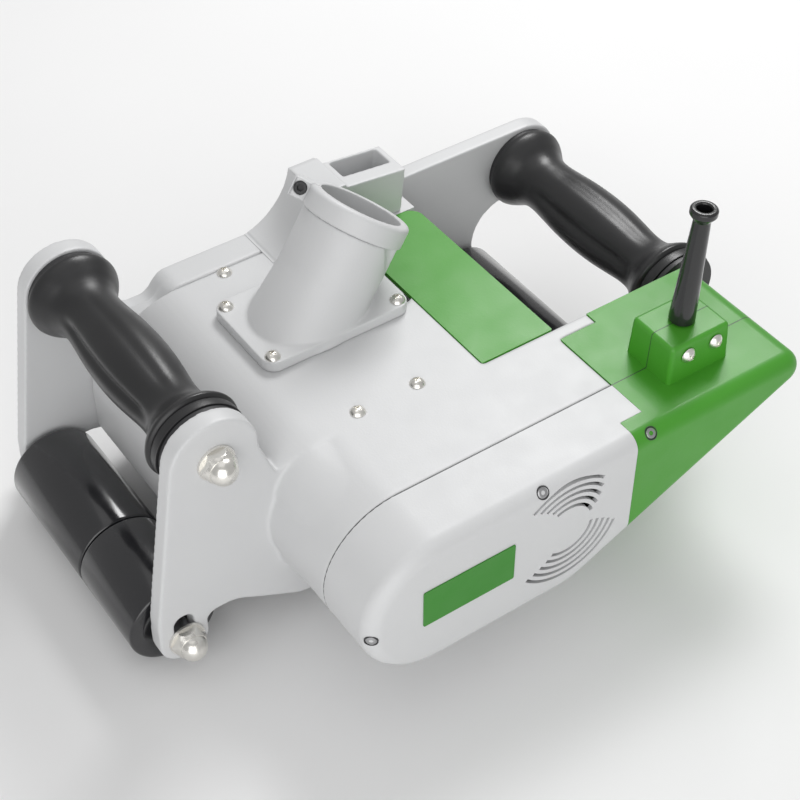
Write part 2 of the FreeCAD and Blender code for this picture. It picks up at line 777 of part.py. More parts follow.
def make_rear_cover_inner():
    """Coloured rear shell on the far side of the split, closed by a wall at the handle."""
    body = slab("inner_rear_blank", housing_corners, "Dims.housing_split_y",
                "Dims.near_plate_y - Dims.part_gap")
    room = slab("inner_rear_room", inset(housing_corners, size.housing_wall),
                "Dims.housing_split_y - 1", "Dims.near_plate_y - 4")
    edge = size.green_top_x + size.part_gap
    zone = plate_up("inner_rear_zone", [
        (edge, -80.0, 0.1), (230.0, -80.0, 0.1), (230.0, 10.0, 0.1), (129.7, 10.0, 0.1),
        (129.7, -11.2, 0.1), (edge, -11.2, 0.1),
    ], "-140", "60")
    shell = shared("inner_rear_shell", cut("inner_rear_hollow", body, [room]), zone)
    raised = fused("inner_rear_boss", [shell, boss("boss_far", -57.0, -30.0)])
    clamp_room = block("clamp_room", ("134.9", "-52", "4.5"), ("165.9", "-46.6", "14.5"))
    switch_hole = block("switch_hole", ("152.5", "-8", "-17"), ("177.5", "0", "-3.5"))
    clamps = [rod(f"boss_thread_{i}", "Dims.screw_radius + 0.1", "14",
                  (str(x), "-58", str(z))) for i, (x, z) in enumerate(boss_screw_spots())]
    return settle(cut("rear_cover_inner", raised,
                      [sleeve_hole("far_sleeve_hole"), switch_hole, clamp_room] + clamps))


def make_label_plate():
    """Blank coloured plate stuck on the side of the motor housing."""
    body = slab("label_plate", [(-53.7, -57.6, 1.0), (5.8, -57.6, 1.0), (5.8, -30.5, 1.0),
                                (-53.7, -30.5, 1.0)],
                "Dims.housing_side_y - 0.7", "Dims.housing_side_y - 0.05")
    return settle(body)


# ---------------------------------------------------------------- handles


def make_grip(name, x, z, low):
    """Moulded grip: flared ends, a slim waist by each and a fuller belly, bored for the rod."""
    profile = [
        (0.0, "Dims.grip_flare - 3"), (0.03, "Dims.grip_flare"), (0.07, "Dims.grip_flare - 1.5"),
        (0.13, "Dims.grip_waist"), (0.3, "Dims.grip_belly"), (0.7, "Dims.grip_belly"),
        (0.87, "Dims.grip_waist"), (0.93, "Dims.grip_flare - 1.5"), (0.97, "Dims.grip_flare"),
        (1.0, "Dims.grip_flare - 3"),
    ]
    length = far_inner_y - low - 3.5
    corners = [("Dims.rod_radius + 0.1", "0")]
    corners += [(radius, str(part * length)) for part, radius in profile]
    corners += [("Dims.rod_radius + 0.1", str(length))]
    return settle(turned(name, corners), (x, str(low), z), ALONG_Y)


def make_grip_hardware(name, x, z, low, start):
    """Tie rod of one handle and the two end collars between the grip and the frames."""
    length = size.far_plate_y + 9.5 - start
    item = rod(f"{name}_rod", "Dims.rod_radius", str(length), ("0", "0", "0"))
    settle(item, (x, str(start), z), ALONG_Y)
    rings = []
    for place, y in enumerate((low - 3.4, far_inner_y - 3.3)):
        outer = rod(f"{name}_collar_{place}", "Dims.collar_disc", "3.2", (x, str(y), z))
        bore = rod(f"{name}_collar_bore_{place}", "Dims.rod_radius + 0.1", "3.2", (x, str(y), z))
        rings.append(cut(f"{name}_collar_ring_{place}", outer, [bore]))
    return settle(group(f"{name}_collars", rings))


def hexagon(radius, height):
    """Six-sided prism whose corners reach the radius."""
    corners = [V(radius * math.cos(math.radians(60 * k)), radius * math.sin(math.radians(60 * k)), 0)
               for k in range(7)]
    return Part.Face(Part.makePolygon(corners)).extrude(V(0, 0, height))


def acorn_nut(bore):
    """Domed nut with a washer face; it stands on z = 0 and its dome points up."""
    body = hexagon(size.nut_radius * 1.12, size.nut_height)
    crown = Part.makeCone(size.nut_radius * 1.3, size.nut_radius * 0.9, size.nut_height)
    washer = Part.makeCylinder(size.nut_radius * 1.15, 1.6)
    dome = Part.makeSphere(size.nut_radius * 0.86, V(0, 0, size.nut_height - 0.5))
    shape = body.common(crown).fuse([dome, washer])
    return shape.cut(Part.makeCylinder(bore + 0.02, 11.6, V(0, 0, -2))).removeSplitter()


NEAR_SIDE = (size.near_plate_y - 0.1, 90)
FAR_SIDE = (size.far_plate_y + 0.1, -90)


def end_nuts(name, x, z, bore, sides=(NEAR_SIDE, FAR_SIDE)):
    """A nut on the outer face of each side frame named in sides."""
    nuts = []
    for y, turn in sides:
        nut = acorn_nut(bore)
        nut.Placement = FreeCAD.Placement(V(x, y, z), FreeCAD.Rotation(V(1, 0, 0), turn))
        nuts.append(nut)
    return solid(name, Part.makeCompound(nuts))


# ---------------------------------------------------------------- rollers


def make_axle(name, x, nut_bore):
    """Roller axle from one side frame to the other, stepped down for the nuts."""
    start = size.near_plate_y - 9.5
    length = size.far_plate_y + 9.5 - start
    step = "9.6"
    profile = [("0", "0"), (nut_bore, "0"), (nut_bore, step), ("Dims.axle_radius", step),
               ("Dims.axle_radius", f"{length} - {step}"), (nut_bore, f"{length} - {step}"),
               (nut_bore, str(length)), ("0", str(length))]
    return settle(turned(name, profile), (x, str(start), "Dims.roller_z"), ALONG_Y)


def make_roller(name, x, low, high):
    """Hollow roller with a bush at each end that runs on the axle."""
    length = f"{high - low}"
    outer = rod(f"{name}_skin", "Dims.roller_radius", length, (x, str(low), "Dims.roller_z"))
    core = rod(f"{name}_core", "Dims.roller_radius - 7", str(high - low - 24),
               (x, str(low + 12), "Dims.roller_z"))
    seat = rod(f"{name}_seat", "Dims.axle_radius + Dims.bush_wall", length,
               (x, str(low), "Dims.roller_z"))
    bores = [core, seat]
    for place, y in enumerate((low, high - 1.5)):
        bores.append(rod(f"{name}_recess_{place}", "Dims.roller_radius - 9", "1.5",
                         (x, str(y), "Dims.roller_z")))
    settle(cut(name, outer, bores))
    bushes = []
    for place, y in enumerate((low + 1.6, high - 11.6)):
        sleeve = rod(f"{name}_bush_{place}", "Dims.axle_radius + Dims.bush_wall - 0.02", "10",
                     (x, str(y), "Dims.roller_z"))
        bore = rod(f"{name}_bush_bore_{place}", "Dims.axle_radius + Dims.running_gap", "10",
                   (x, str(y), "Dims.roller_z"))
        bushes.append(cut(f"{name}_bush_ring_{place}", sleeve, [bore]))
    return settle(group(f"{name}_bushes", bushes))


# ---------------------------------------------------------------- blades and spindle

spindle_start = -16.0
spindle_end = size.far_plate_y + 4.0
pack_width = size.blade_pitch * (size.blade_count - 1) + size.blade_thickness
pack_low = size.blade_middle_y - pack_width / 2
pack_high = size.blade_middle_y + pack_width / 2


def on_spindle(y):
    """Place on the spindle's axis at a given y, as formulas."""
    return ("Dims.spindle_x", str(y), "Dims.spindle_z")


def make_spindle():
    """Blade spindle: pulley seat, two journals, a shoulder for the flanges and the long body."""
    lengths = {
        "shoulder": pack_low - 8 - spindle_start,
        "far_journal": far_inner_y - spindle_start,
        "total": spindle_end - spindle_start,
    }
    journal = "Dims.spindle_journal"
    thick = "Dims.spindle_radius"
    bearing_end = str(near_inner_y - spindle_start)
    profile = [
        ("0", "0"), (journal, "0"), (journal, bearing_end),
        (f"{thick} + 3", bearing_end), (f"{thick} + 3", str(lengths["shoulder"])),
        (thick, str(lengths["shoulder"])), (thick, str(lengths["far_journal"])),
        (journal, str(lengths["far_journal"])), (journal, str(lengths["total"])),
        ("0", str(lengths["total"])),
    ]
    return settle(turned("spindle", profile), on_spindle(spindle_start), ALONG_Y)


def blade_shape():
    """Segmented blade: a thin core with gullets between its rim segments."""
    blade = Part.makeCylinder(size.blade_radius, size.blade_thickness)
    blade = blade.cut(Part.makeCylinder(size.spindle_radius + 0.05, size.blade_thickness))
    gullets = []
    count = 12
    for step in range(count):
        gullet = Part.makeBox(9, 2.4, size.blade_thickness, V(size.blade_radius - 8, -1.2, 0))
        gullet.rotate(V(0, 0, 0), V(0, 0, 1), 360 * step / count)
        gullets.append(gullet)
    return blade.cut(gullets)


def make_blades():
    """The pack of blades, side by side at an even pitch."""
    blade = blade_shape()
    pack = []
    for step in range(int(size.blade_count)):
        copy = blade.copy()
        copy.Placement = FreeCAD.Placement(V(0, pack_low + step * size.blade_pitch, 0), ALONG_Y)
        pack.append(copy)
    return settle(solid("blades", Part.makeCompound(pack)), ("Dims.spindle_x", "0",
                                                             "Dims.spindle_z"))


def spindle_ring(name, outer, low, high, bore="Dims.spindle_radius + 0.05"):
    """Plain ring on the spindle between two y values."""
    body = rod(f"{name}_disc", outer, str(high - low), on_spindle(low))
    hole = rod(f"{name}_hole", bore, str(high - low), on_spindle(low))
    return cut(name, body, [hole])


def make_blade_clamp():
    """Spacers between the blades, the two clamping flanges and the spindle nut."""
    spacers = []
    for step in range(int(size.blade_count) - 1):
        low = pack_low + step * size.blade_pitch + size.blade_thickness + 0.05
        high = low + size.blade_pitch - size.blade_thickness - 0.1
        spacers.append(spindle_ring(f"spacer_{step}", "17", low, high))
    settle(group("blade_spacers", spacers))
    flanges = [spindle_ring("inner_flange", "21", pack_low - 7.9, pack_low - 0.05),
               spindle_ring("outer_flange", "21", pack_high + 0.05, pack_high + 7)]
    settle(group("blade_flanges", flanges))
    nut = hexagon(17.0, 10.0).cut(Part.makeCylinder(size.spindle_radius + 0.05, 10))
    nut.Placement = FreeCAD.Placement(V(0, pack_high + 7.2, 0), ALONG_Y)
    return settle(solid("spindle_nut", nut), ("Dims.spindle_x", "0", "Dims.spindle_z"))


def make_spindle_bearings():
    """Ball bearings of the spindle, one in each side frame."""
    rings = []
    for place, low in enumerate((size.near_plate_y + 0.6, far_inner_y + 0.6)):
        rings.append(spindle_ring(f"spindle_bearing_{place}", "Dims.bearing_outer", low,
                                  low + size.bearing_width,
                                  "Dims.spindle_journal + Dims.running_gap"))
    return settle(group("spindle_bearings", rings))


def make_bearing_cap():
    """Round cap screwed over the far bearing."""
    low = size.far_plate_y + 0.1
    face = rod("cap_disc", "31", "7", on_spindle(low))
    room = rod("cap_room", "Dims.spindle_journal + 2", "5", on_spindle(low - 0.1))
    holes = []
    for place in range(4):
        turn = math.radians(45 + 90 * place)
        spot = (f"Dims.spindle_x + {25 * math.cos(turn)}", str(low - 0.1),
                f"Dims.spindle_z + {25 * math.sin(turn)}")
        holes.append(rod(f"cap_hole_{place}", "Dims.screw_radius + 0.1", "8", spot))
    return settle(cut("bearing_cap", face, [room] + holes))


# ---------------------------------------------------------------- motor and belt


def on_motor(y):
    """Place on the motor's axis at a given y, as formulas."""
    return ("Dims.motor_x", str(y), "Dims.motor_z")


def motor_ring(name, outer, inner, low, high):
    """Plain ring on the motor's axis between two y values."""
    body = rod(f"{name}_disc", outer, str(high - low), on_motor(low))
    hole = rod(f"{name}_hole", inner, str(high - low), on_motor(low))
    return cut(name, body, [hole])


def grooved_pulley(name, radius, bore):
    """Pulley with small rope-like grooves for a ribbed belt, between two rims."""
    width = size.pulley_width
    profile = [(bore, "0"), (f"{radius} + 1.2", "0"), (f"{radius} + 1.2", "0.8")]
    ribs = 5
    pitch = (width - 1.8) / ribs
    for step in range(ribs):
        start = 0.9 + step * pitch
        profile.append((radius, str(start)))
        profile.append((f"{radius} - 1.2", str(start + pitch / 2)))
    profile.append((radius, str(0.9 + ribs * pitch)))
    profile += [(f"{radius} + 1.2", str(width - 0.8)), (f"{radius} + 1.2", str(width)),
                (bore, str(width))]
    return turned(name, profile)


def make_drive():
    """Two pulleys and the ribbed belt round them."""
    low = -15.5
    settle(grooved_pulley("motor_pulley", "Dims.motor_pulley_radius", "Dims.shaft_radius + 0.02"),
           on_motor(low), ALONG_Y)
    settle(grooved_pulley("spindle_pulley", "Dims.spindle_pulley_radius",
                          "Dims.spindle_journal + 0.02"), on_spindle(low), ALONG_Y)
    width = size.pulley_width - 2.4
    loops = []
    for extra in (0.35, 0.35 + size.belt_thickness):
        first = V(size.spindle_x, 0, size.spindle_z)
        second = V(size.motor_x, 0, size.motor_z)
        big = size.spindle_pulley_radius + extra
        small = size.motor_pulley_radius + extra
        along = second - first
        gap = along.Length
        along.normalize()
        square = V(-along.z, 0, along.x)
        lean = math.asin((big - small) / gap)
        up = along * math.sin(lean) + square * math.cos(lean)
        down = along * math.sin(lean) - square * math.cos(lean)
        edges = [
            Part.LineSegment(first + up * big, second + up * small),
            Part.Arc(second + up * small, second + along * small, second + down * small),
            Part.LineSegment(second + down * small, first + down * big),
            Part.Arc(first + down * big, first - along * big, first + up * big),
        ]
        face = Part.Face(Part.Wire([edge.toShape() for edge in edges]))
        loops.append(face.extrude(V(0, width, 0)))
    belt = loops[1].cut(loops[0])
    belt.translate(V(0, low + 1.2, 0))
    return settle(solid("drive_belt", belt))


def make_rotor():
    """Motor shaft with its armature, commutator and fan."""
    start = -95.0
    length = -5.0 - start
    profile = [("0", "0"), ("4", "0"), ("4", "7.5"), ("Dims.shaft_radius", "7.5"),
               ("Dims.shaft_radius", str(length)), ("0", str(length))]
    settle(turned("motor_shaft", profile), on_motor(start), ALONG_Y)
    core = Part.makeCylinder(size.armature_radius, 28).cut(Part.makeCylinder(
        size.shaft_radius + 0.02, 28))
    slots = []
    for step in range(12):
        slot = Part.makeBox(6, 2.2, 28, V(size.armature_radius - 5, -1.1, 0))
        slot.rotate(V(0, 0, 0), V(0, 0, 1), 30 * step)
        slots.append(slot)
    core = core.cut(slots)
    core.Placement = FreeCAD.Placement(V(0, -60, 0), ALONG_Y)
    settle(solid("armature", core), ("Dims.motor_x", "0", "Dims.motor_z"))
    settle(motor_ring("commutator", "13", "Dims.shaft_radius + 0.02", -75.0, -62.0))
    disc = Part.makeCylinder(size.fan_radius, 2).fuse(Part.makeCylinder(9, 9))
    for step in range(11):
        vane = Part.makeBox(22, 1.6, 8, V(10, -0.8, 1.5))
        vane.rotate(V(10, 0, 0), V(0, 0, 1), 25)
        vane.rotate(V(0, 0, 0), V(0, 0, 1), 360 * step / 11)
        disc = disc.fuse(vane)
    disc = disc.common(Part.makeCylinder(size.fan_radius, 12))
    disc = disc.cut(Part.makeCylinder(size.shaft_radius + 0.02, 12)).removeSplitter()
    disc.Placement = FreeCAD.Placement(V(0, -78, 0), FreeCAD.Rotation(V(1, 0, 0), 90))
    return settle(solid("cooling_fan", disc), ("Dims.motor_x", "0", "Dims.motor_z"))


def make_stator():
    """Laminated stator ring, brush holders with their carbons, and the motor's bearings."""
    settle(motor_ring("stator", "Dims.stator_radius", "Dims.armature_radius + 0.8",
                      -29.5 - size.stator_length, -29.5))
    holders = []
    carbons = []
    for side in (-1, 1):
        shell = Part.makeBox(16, 10, 12, V(13.6 if side > 0 else -29.6, -73, -6))
        room = Part.makeBox(18, 7, 8, V(12.6 if side > 0 else -30.6, -71.5, -4))
        holders.append(shell.cut(room))
        carbon = Part.makeBox(12, 6.6, 7.6, V(13.3 if side > 0 else -25.3, -71.3, -3.8))
        carbons.append(carbon)
    spot = ("Dims.motor_x", "0", "Dims.motor_z")
    settle(solid("brush_holders", Part.makeCompound(holders)), spot)
    settle(solid("carbon_brushes", Part.makeCompound(carbons)), spot)
    inner = motor_ring("drive_end_bearing", "Dims.motor_bearing_radius",
                       "Dims.shaft_radius + Dims.running_gap", -27.0, -19.0)
    outer = motor_ring("fan_end_bearing", "11", "4 + Dims.running_gap", -95.0, -88.0)
    return settle(group("motor_bearings", [inner, outer]))


# ---------------------------------------------------------------- switch and cable entry


def make_switch():
    """Rocker switch in the far wall of the rear cover; the rocker tilts on an upright pin."""
    frame = Part.makeBox(29, 1.6, 17, V(150.5, -2.35, -18.7))
    frame = frame.cut(Part.makeBox(20.6, 30, 9.6, V(154.7, -20, -15)))
    walls = Part.makeBox(24.4, 20.4, 12.8, V(152.8, -22.4, -16.6))
    walls = walls.cut(Part.makeBox(20.6, 16, 9.6, V(154.7, -17, -15)))
    pivot = V(165, -7, -16.3)
    pin = Part.makeCylinder(size.rocker_pin_radius, 12.2, pivot)
    settle(solid("switch_body", frame.fuse([walls, pin]).removeSplitter()))
    rocker = Part.makeBox(18.6, 9.8, 9, V(155.7, -9, -14.7))
    rocker = rocker.cut(Part.makeCylinder(26.4, 9, V(165, 26, -14.7)))
    rocker = rocker.cut(Part.makeCylinder(size.rocker_pin_radius + size.running_gap, 14, pivot))
    rocker.rotate(pivot, V(0, 0, 1), -size.rocker_swing)
    return settle(solid("switch_rocker", rocker))


def make_cable_sleeve():
    """Tapered rubber sleeve that leans slightly to the rear; its rim flares at the cable."""
    tip = "Dims.sleeve_length"
    profile = [
        ("3.2", "-20"), ("4.5", "-20"), ("4.5", "0"), ("Dims.sleeve_radius", "0"),
        ("Dims.sleeve_radius", "2"), ("Dims.sleeve_neck", f"{tip} - 8"),
        ("Dims.sleeve_rim", f"{tip} - 4"), ("Dims.sleeve_rim", f"{tip} - 1"),
        ("Dims.sleeve_rim - 1", tip), ("Dims.sleeve_bore + 0.8", tip),
        ("Dims.sleeve_bore", f"{tip} - 1"), ("Dims.sleeve_bore", "8"), ("3.2", "4"),
    ]
    lean = FreeCAD.Rotation(V(0, 1, 0), size.sleeve_lean)
    return settle(turned("cable_sleeve", profile),
                  ("Dims.boss_x", "Dims.boss_y", "Dims.boss_rise + 0.8"), lean)


def make_cord_clamp():
    """Bar inside the boss that the two boss screws pull against the cable."""
    bar = Part.makeBox(30, 4, 9, V(135.4, -51, 5))
    for x, _ in boss_screw_spots():
        bar = bar.cut(Part.makeCylinder(1.5, 6, V(x, -52, 9.5), V(0, 1, 0)))
    return settle(solid("cord_clamp", bar))


# ---------------------------------------------------------------- screws


def pan_screw(length):
    """Cross-recessed pan-head screw: shank below z = 0, head above."""
    radius = size.pan_head_radius
    height = size.pan_head_height
    ball = (radius * radius + height * height) / (2 * height)
    head = Part.makeSphere(ball, V(0, 0, height - ball))
    head = head.common(Part.makeCylinder(radius, height))
    shank = Part.makeCylinder(size.screw_radius - 0.1, length, V(0, 0, -length))
    shape = head.fuse(shank)
    for turn in (0, 90):
        slot = Part.makeBox(4.6, 1.1, 2, V(-2.3, -0.55, height - 1.6))
        slot.rotate(V(0, 0, 0), V(0, 0, 1), turn + 30)
        shape = shape.cut(slot)
    return shape


def screw_group(name, places, length, turn=FreeCAD.Rotation()):
    """Identical screws with their heads seated at the given points."""
    screws = []
    for place in places:
        screw = pan_screw(length)
        screw.Placement = FreeCAD.Placement(place, turn)
        screws.append(screw)
    return settle(solid(name, Part.makeCompound(screws)))


def make_screws():
    """Every visible screw of the machine."""
    cover = [V(x, y, 0.05) for x, y in top_screw_spots()]
    screw_group("top_screws", cover, 6.5)
    duct = [place + V(0, 0, 0.05) for place in duct_screw_places()]
    screw_group("duct_screws", duct, 4.2)
    face = size.boss_y - size.boss_depth / 2 - size.boss_draft * 0.3
    spots = [V(x, face - 0.5, z) for x, z in boss_screw_spots()]
    screw_group("boss_screws", spots, 22.0, FreeCAD.Rotation(V(1, 0, 0), 90))
    cap = []
    for place in range(4):
        turn = math.radians(45 + 90 * place)
        cap.append(V(size.spindle_x + 25 * math.cos(turn), size.far_plate_y + 7.2,
                     size.spindle_z + 25 * math.sin(turn)))
    screw_group("bearing_cap_screws", cap, 6.8, FreeCAD.Rotation(V(1, 0, 0), -90))


# ---------------------------------------------------------------- assembly

make_main_casting()
make_far_side_frame()
make_rear_panel()
make_panel_filler()
make_spanner_pocket()
make_dust_duct()
make_duct_collar()
make_outer_covers()
make_rear_cover_inner()
make_label_plate()
for label, x, z, low, start in (
    ("front_grip", "Dims.front_grip_x", "Dims.front_grip_z", near_inner_y + 3.5,
     size.near_plate_y - 9.5),
    ("rear_grip", "Dims.rear_grip_x", "Dims.rear_grip_z", size.rear_lug_y + 3.5,
     size.near_plate_y),
):
    make_grip(label, x, z, low)
    make_grip_hardware(label, x, z, low, start)
settle(end_nuts("front_grip_nuts", size.front_grip_x, size.front_grip_z, size.rod_radius))
settle(end_nuts("rear_grip_nut", size.rear_grip_x, size.rear_grip_z, size.rod_radius,
                (FAR_SIDE,)))
make_axle("front_roller_axle", "Dims.front_roller_x", "Dims.rod_radius")
settle(end_nuts("front_axle_nuts", size.front_roller_x, size.roller_z, size.rod_radius))
make_axle("rear_roller_axle", "Dims.rear_roller_x", "Dims.rod_radius")
settle(end_nuts("rear_axle_nuts", size.rear_roller_x, size.roller_z, size.rod_radius))
make_roller("front_roller_short", "Dims.front_roller_x", near_inner_y + 3, size.roller_split_y - 0.3)
make_roller("front_roller_long", "Dims.front_roller_x", size.roller_split_y + 0.3, far_inner_y - 3)
make_roller("rear_roller", "Dims.rear_roller_x", near_inner_y + 3, far_inner_y - 3)
make_spindle()
make_blades()
make_blade_clamp()
make_spindle_bearings()
make_bearing_cap()
make_drive()
make_rotor()
make_stator()
make_switch()
make_cable_sleeve()
make_cord_clamp()
make_screws()

# ---------------------------------------------------------------- checks and export

doc.recompute()
broken = [item.Name for item in doc.Objects if {"Invalid", "Error"} & set(item.State)]
if broken:
    raise RuntimeError(f"objects that failed to compute: {broken}")
for item in subparts:
    if item.Shape.isNull() or not item.Shape.isValid():
        raise RuntimeError(f"{item.Label} has no valid shape")
    item.Shape.exportStep(f"parts/{item.Label}.step")
whole = Part.makeCompound([item.Shape for item in subparts])
print(len(subparts), "sub-parts, box", whole.BoundBox)
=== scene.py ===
"""Looks of the wall chaser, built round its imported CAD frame.

Metres, in the frame's own axes: +X to the rear handle, +Y to the far side, +Z up. Shapes are
written in millimetres about the datum, a point on the flat top of the guard.
"""
import json
import math

import bmesh
import bpy
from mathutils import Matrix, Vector


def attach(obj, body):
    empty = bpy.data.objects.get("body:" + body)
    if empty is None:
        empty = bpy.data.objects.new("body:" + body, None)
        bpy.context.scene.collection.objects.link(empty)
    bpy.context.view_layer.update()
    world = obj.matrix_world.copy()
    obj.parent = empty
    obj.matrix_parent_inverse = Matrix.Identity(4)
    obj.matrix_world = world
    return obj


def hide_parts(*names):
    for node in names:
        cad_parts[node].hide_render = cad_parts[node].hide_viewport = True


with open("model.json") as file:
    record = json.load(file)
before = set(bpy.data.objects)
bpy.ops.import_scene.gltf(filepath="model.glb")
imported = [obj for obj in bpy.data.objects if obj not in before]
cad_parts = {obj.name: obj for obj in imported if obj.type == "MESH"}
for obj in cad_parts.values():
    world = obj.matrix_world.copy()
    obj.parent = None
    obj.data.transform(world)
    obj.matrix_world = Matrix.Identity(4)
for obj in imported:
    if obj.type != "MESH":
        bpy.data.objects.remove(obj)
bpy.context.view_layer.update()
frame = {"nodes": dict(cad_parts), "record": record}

nodes = frame["nodes"]
record = frame["record"]
OWNER = {node: body for body, held in record["behaviour"]["bodies"].items() for node in held}
SLOT = {entry["node"]: entry["material_slot"] for entry in record["subparts"]}

MM = 0.001
DATUM = Vector((-32.1, -45.0, 129.3))

# side frames, grips and rollers, in millimetres about the datum
NEAR_INNER_Y = 9.0
FAR_INNER_Y = 162.8
FRONT_GRIP_AXIS = (-116.6, 22.0)
REAR_GRIP_AXIS = (209.5, -26.5)
REAR_LUG_INNER_Y = 2.6
GRIP_END_GAP = 3.5
FRONT_ROLLER_X = -145.8
REAR_ROLLER_X = 158.0
ROLLER_Z = -101.8
ROLLER_RADIUS = 27.5
ROLLER_SPLIT_Y = 73.0
ROLLER_END_GAP = 3
ROLLER_SPLIT_GAP = 0.3

# motor housing: outline corners (x, z, radius), the joint of its two halves and its near face
HOUSING_LEFT = -88.6
HOUSING_FLOOR = -93.6
HOUSING_END_RADIUS = 46.8
HOUSING_LOBE_X = 49.0
HOUSING_SLOPE = math.radians(25.0)
HOUSING_TIP_X = HOUSING_LOBE_X - HOUSING_FLOOR / math.tan(HOUSING_SLOPE)
HOUSING_CORNERS = [
    (HOUSING_LEFT, HOUSING_FLOOR, HOUSING_END_RADIUS),
    (HOUSING_LOBE_X, HOUSING_FLOOR, 50.0),
    (HOUSING_TIP_X, 0.0, 11.0),
    (HOUSING_LEFT, 0.0, HOUSING_END_RADIUS),
]
BOSS_CORNERS = [(172.6, -2.5, 0.2), (171.4, 25.3, 2.5), (129.4, 25.3, 2.5), (128.2, -2.5, 0.2)]
HOUSING_SPLIT_Y = -57.1
HOUSING_SIDE_Y = -99.0
HOUSING_EDGE_RADIUS = 9.0


def spot(x, y, z):
    """Point in metres in the frame, from millimetres about the datum."""
    return (Vector((x, y, z)) + DATUM) * MM


# ---------------------------------------------------------------- materials

# sockets of the colour mix node, and scales of the slow patterns shared by the finishes
MIX_FACTOR, MIX_FIRST, MIX_SECOND, MIX_RESULT = 0, 6, 7, 2
PATCH_SCALE = 14.0
STAIN_SCALE = 30.0
GLOSS_SCALE = 60.0
WAVE_SCALE = 45.0
BRUSH_SCALE = 900.0


def new_material(name):
    """Material with an emptied node tree, its shader and its object coordinates."""
    material = bpy.data.materials.new(name)
    material.use_nodes = True
    tree = material.node_tree
    shader = tree.nodes["Principled BSDF"]
    place = tree.nodes.new("ShaderNodeTexCoord")
    return material, tree, shader, place.outputs["Object"]


def noise(tree, place, scale, detail=4.0, stretch=None):
    """Noise pattern; stretch squeezes it along the axes, as brushing does."""
    source = place
    if stretch is not None:
        mapping = tree.nodes.new("ShaderNodeMapping")
        mapping.inputs["Scale"].default_value = stretch
        tree.links.new(place, mapping.inputs["Vector"])
        source = mapping.outputs["Vector"]
    pattern = tree.nodes.new("ShaderNodeTexNoise")
    pattern.inputs["Scale"].default_value = scale
    pattern.inputs["Detail"].default_value = detail
    tree.links.new(source, pattern.inputs["Vector"])
    return pattern.outputs["Fac"]


def spread(tree, factor, low, high):
    """Map a pattern's middle range onto low to high."""
    ramp = tree.nodes.new("ShaderNodeMapRange")
    ramp.inputs["From Min"].default_value = 0.3
    ramp.inputs["From Max"].default_value = 0.7
    ramp.inputs["To Min"].default_value = low
    ramp.inputs["To Max"].default_value = high
    tree.links.new(factor, ramp.inputs["Value"])
    return ramp.outputs["Result"]


def blend_colours(tree, factor, first, second):
    """Mix of two plain colours by a pattern."""
    mix = tree.nodes.new("ShaderNodeMix")
    mix.data_type = "RGBA"
    mix.inputs[MIX_FIRST].default_value = (*first, 1.0)
    mix.inputs[MIX_SECOND].default_value = (*second, 1.0)
    tree.links.new(factor, mix.inputs[MIX_FACTOR])
    return mix.outputs[MIX_RESULT]


def bump(tree, shader, height, strength, distance):
    """Relief from a pattern, in metres; chained on any relief that is already there."""
    relief = tree.nodes.new("ShaderNodeBump")
    relief.inputs["Strength"].default_value = strength
    relief.inputs["Distance"].default_value = distance
    tree.links.new(height, relief.inputs["Height"])
    if shader.inputs["Normal"].is_linked:
        before = shader.inputs["Normal"].links[0].from_socket
        tree.links.new(before, relief.inputs["Normal"])
    tree.links.new(relief.outputs["Normal"], shader.inputs["Normal"])


def finish_surface(name, colour, shade, metallic, roughness, grain, coat=0.0):
    """Surface with a mottled colour, uneven gloss, fine grain and a slow unevenness.

    shade darkens the colour's patches; roughness is (low, high) and grain is (scale, strength).
    """
    material, tree, shader, place = new_material(name)
    patch = spread(tree, noise(tree, place, PATCH_SCALE), 0.0, 1.0)
    darker = tuple(channel * shade for channel in colour)
    tree.links.new(blend_colours(tree, patch, darker, colour), shader.inputs["Base Color"])
    gloss = spread(tree, noise(tree, place, GLOSS_SCALE), roughness[0], roughness[1])
    tree.links.new(gloss, shader.inputs["Roughness"])
    shader.inputs["Metallic"].default_value = metallic
    shader.inputs["Coat Weight"].default_value = coat
    shader.inputs["Coat Roughness"].default_value = 0.12
    bump(tree, shader, noise(tree, place, grain[0], 3.0), grain[1], 0.00025)
    bump(tree, shader, noise(tree, place, WAVE_SCALE, 2.0), 0.05, 0.0012)
    return material


def brushed_surface(name, colour, roughness, stretch):
    """Bare metal with fine brush lines along one axis and slight stains."""
    material, tree, shader, place = new_material(name)
    patch = spread(tree, noise(tree, place, STAIN_SCALE), 0.0, 1.0)
    darker = tuple(channel * 0.8 for channel in colour)
    tree.links.new(blend_colours(tree, patch, darker, colour), shader.inputs["Base Color"])
    shader.inputs["Metallic"].default_value = 1.0
    lines = noise(tree, place, BRUSH_SCALE, 3.0, stretch)
    tree.links.new(spread(tree, lines, roughness - 0.06, roughness + 0.08),
                   shader.inputs["Roughness"])
    bump(tree, shader, lines, 0.25, 0.0001)
    return material


